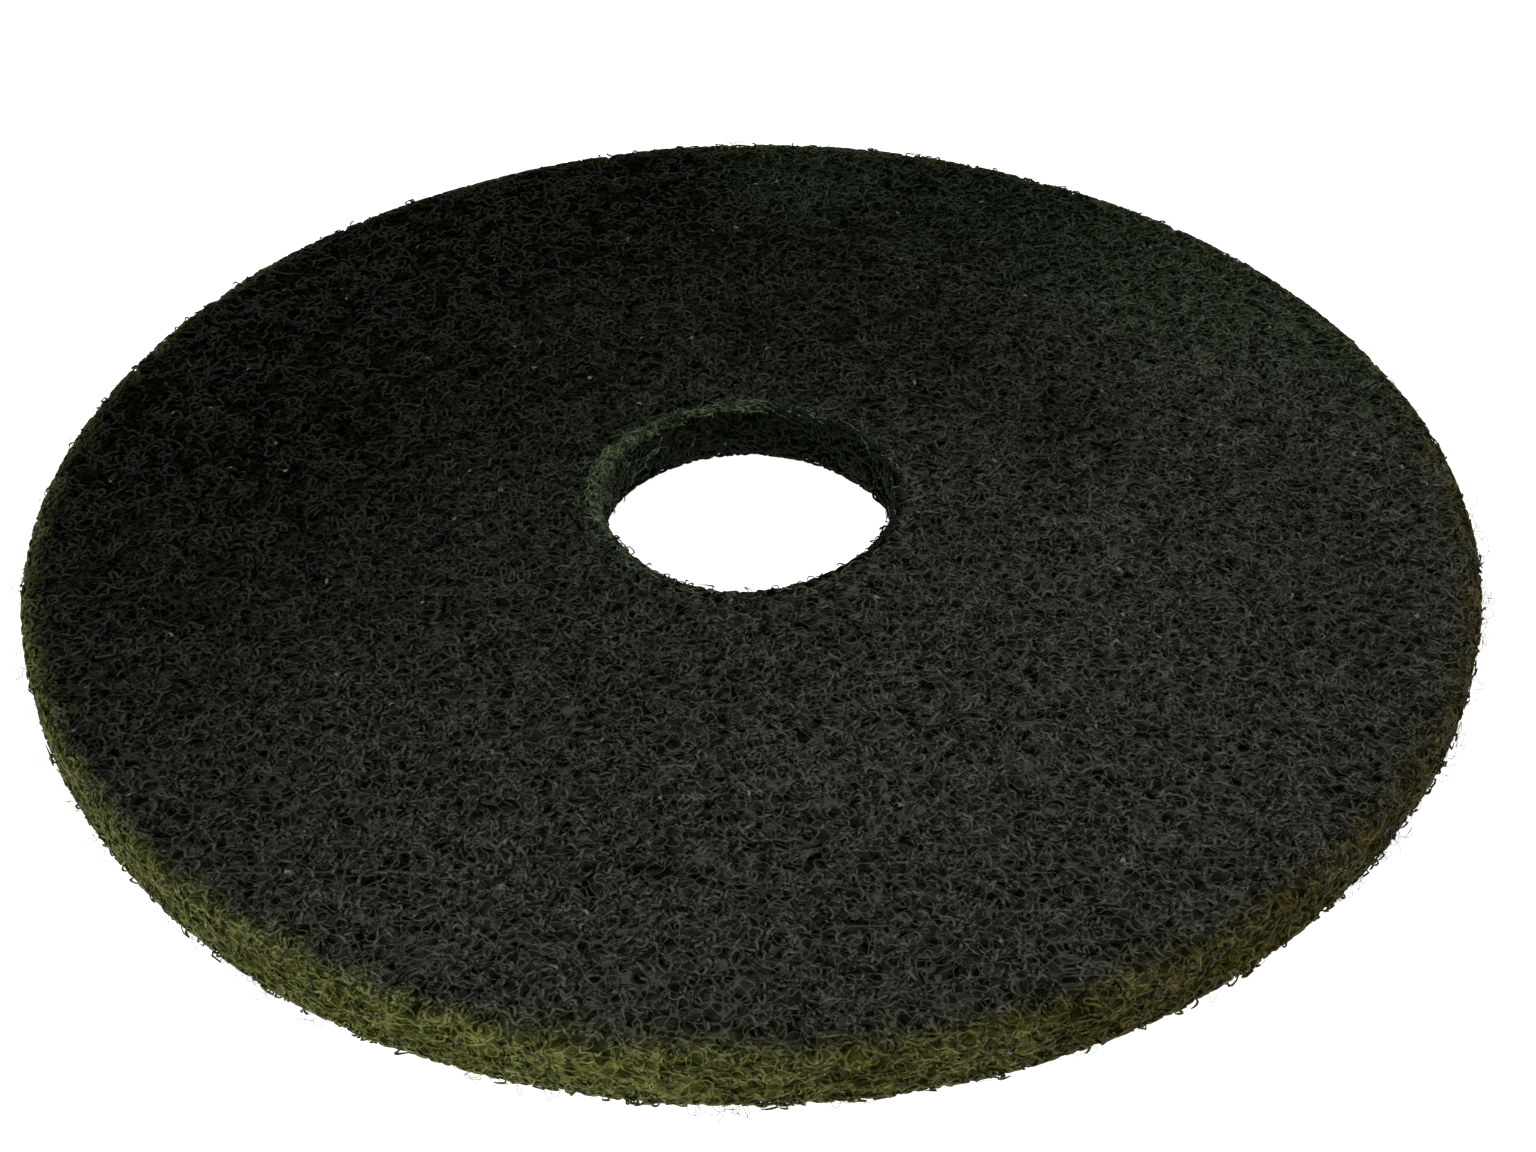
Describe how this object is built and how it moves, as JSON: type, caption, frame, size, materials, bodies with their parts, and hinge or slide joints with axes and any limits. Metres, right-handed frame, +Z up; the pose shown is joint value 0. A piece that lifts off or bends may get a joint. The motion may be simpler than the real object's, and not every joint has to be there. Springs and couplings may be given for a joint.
{
  "type": "floor polishing pad",
  "caption": "Round floor polishing pad of dark open nonwoven fibre, with an olive cut side and a centre hole for the hub of a floor machine.",
  "frame": {"origin": "middle of the face that lies on the floor, on the disc's centre line", "axes": "+Z up through the thickness, towards the face that the pad driver grips; +X and +Y lie in the face"},
  "size_m": [0.407, 0.4069, 0.019],
  "materials": {
    "charcoal_web": "open nonwoven web of curly nylon fibre, bonded with dark resin, matt with small glints on the strands",
    "olive_cut_side": "die-cut side of the same web, olive green where the dark top coat ends, strands lying round the edge"
  },
  "bodies": {
    "root": {"pad": "charcoal_web"}
  },
  "joints": []
}
